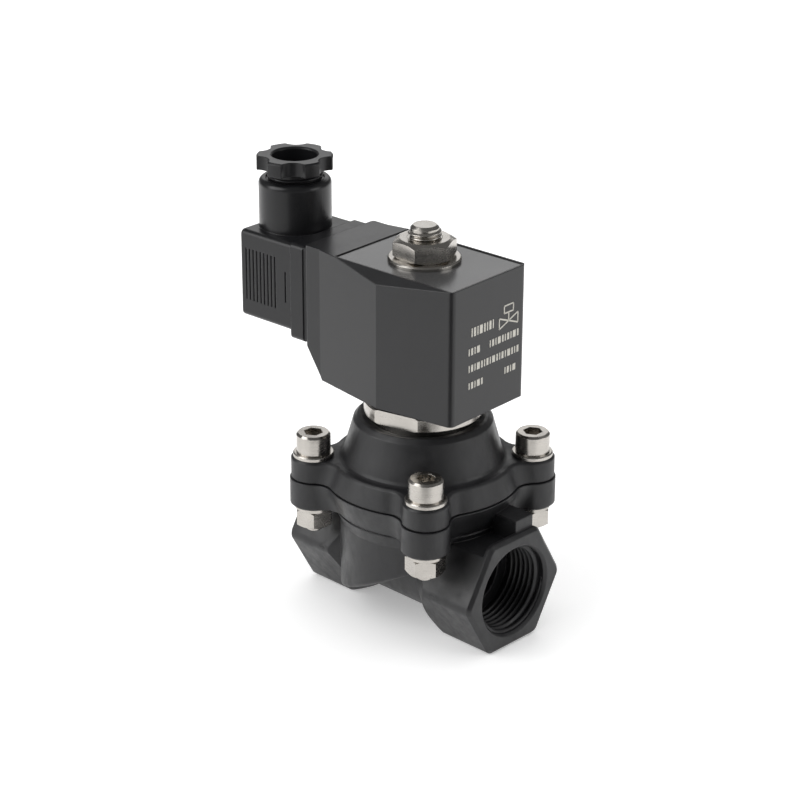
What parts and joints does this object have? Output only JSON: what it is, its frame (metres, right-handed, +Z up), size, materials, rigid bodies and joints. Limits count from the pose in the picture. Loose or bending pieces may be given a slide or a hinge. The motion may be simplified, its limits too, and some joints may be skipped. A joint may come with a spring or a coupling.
{
  "type": "solenoid valve",
  "caption": "Normally closed two-way solenoid valve with threaded pipe ports, a nylon body, an encapsulated coil and a plug-in cable connector.",
  "frame": {"origin": "the point where the flow axis through both ports crosses the armature axis", "axes": "+X along the flow to the outlet port, +Z up the armature tube, the cable connector towards -X"},
  "size_m": [0.098, 0.059, 0.1292],
  "materials": {
    "nylon_black": "moulded glass-filled nylon, fine matt grain",
    "coil_black": "satin moulded thermoset, smooth",
    "connector_black": "semi-gloss moulded polyamide",
    "stainless": "turned and drawn stainless steel",
    "bracket_steel": "glossy black coated steel",
    "seal_rubber": "moulded nitrile rubber",
    "brass_bright": "machined brass",
    "copper_wire": "enamelled copper",
    "bobbin_nylon": "natural moulded nylon",
    "insert_grey": "moulded grey polyamide"
  },
  "bodies": {
    "valve": {"valve_body": "nylon_black", "bonnet": "nylon_black", "tube_o_ring": "seal_rubber", "diaphragm": "seal_rubber", "diaphragm_spring": "stainless", "plunger_spring": "stainless", "fixed_core": "stainless", "shading_ring": "copper_wire", "armature_tube": "stainless", "coil_seat_ring": "seal_rubber", "flange_screws": "stainless", "flange_washers": "stainless", "flange_nuts": "stainless", "lock_washers": "stainless", "coil_washer": "stainless", "coil_nut": "stainless"},
    "diaphragm_set": {"upper_plate": "stainless", "lower_plate": "stainless", "pilot_insert": "brass_bright", "lift_cup": "stainless"},
    "plunger": {"plunger": "stainless", "plunger_seal": "seal_rubber"},
    "coil": {"coil_housing": "coil_black", "coil_yoke": "bracket_steel", "bobbin": "bobbin_nylon", "winding": "copper_wire", "terminals": "brass_bright"},
    "connector": {"connector_housing": "connector_black", "terminal_insert": "insert_grey", "terminal_screws": "stainless", "connector_gasket": "seal_rubber", "gland_seal": "seal_rubber", "gland_washer": "stainless"},
    "connector_screw": {"connector_screw": "stainless"},
    "gland_nut": {"gland_nut": "connector_black"}
  },
  "joints": [
    {"name": "plunger_lift", "type": "slide", "parent": "valve", "child": "plunger", "axis": [0, 0, 1], "range_m": [0, 0.006], "stiffness_N_per_m": 200, "springref_m": -0.01, "deforming": ["plunger_spring"]},
    {"name": "diaphragm_lift", "type": "slide", "parent": "valve", "child": "diaphragm_set", "axis": [0, 0, 1], "range_m": [0, 0.0045], "deforming": ["diaphragm", "diaphragm_spring"]},
    {"name": "coil_swivel", "type": "hinge", "parent": "valve", "child": "coil", "pos_m": [0, 0, 0.0719], "axis": [0, 0, 1], "continuous": true},
    {"name": "connector_unplug", "type": "slide", "parent": "coil", "child": "connector", "axis": [-0.999, -0.0454, 0], "range_m": [0, 0.016]},
    {"name": "connector_screw_turn", "type": "hinge", "parent": "connector", "child": "connector_screw", "pos_m": [-0.05904, -0.00268, 0.0772], "axis": [0.999, 0.0454, 0], "continuous": true},
    {"name": "gland_nut_turn", "type": "hinge", "parent": "connector", "child": "gland_nut", "pos_m": [-0.05015, -0.00228, 0.108], "axis": [0, 0, 1], "continuous": true}
  ],
  "couplings": [
    {"joint": "diaphragm_lift", "follows": "plunger_lift", "ratio": 0.75}
  ]
}
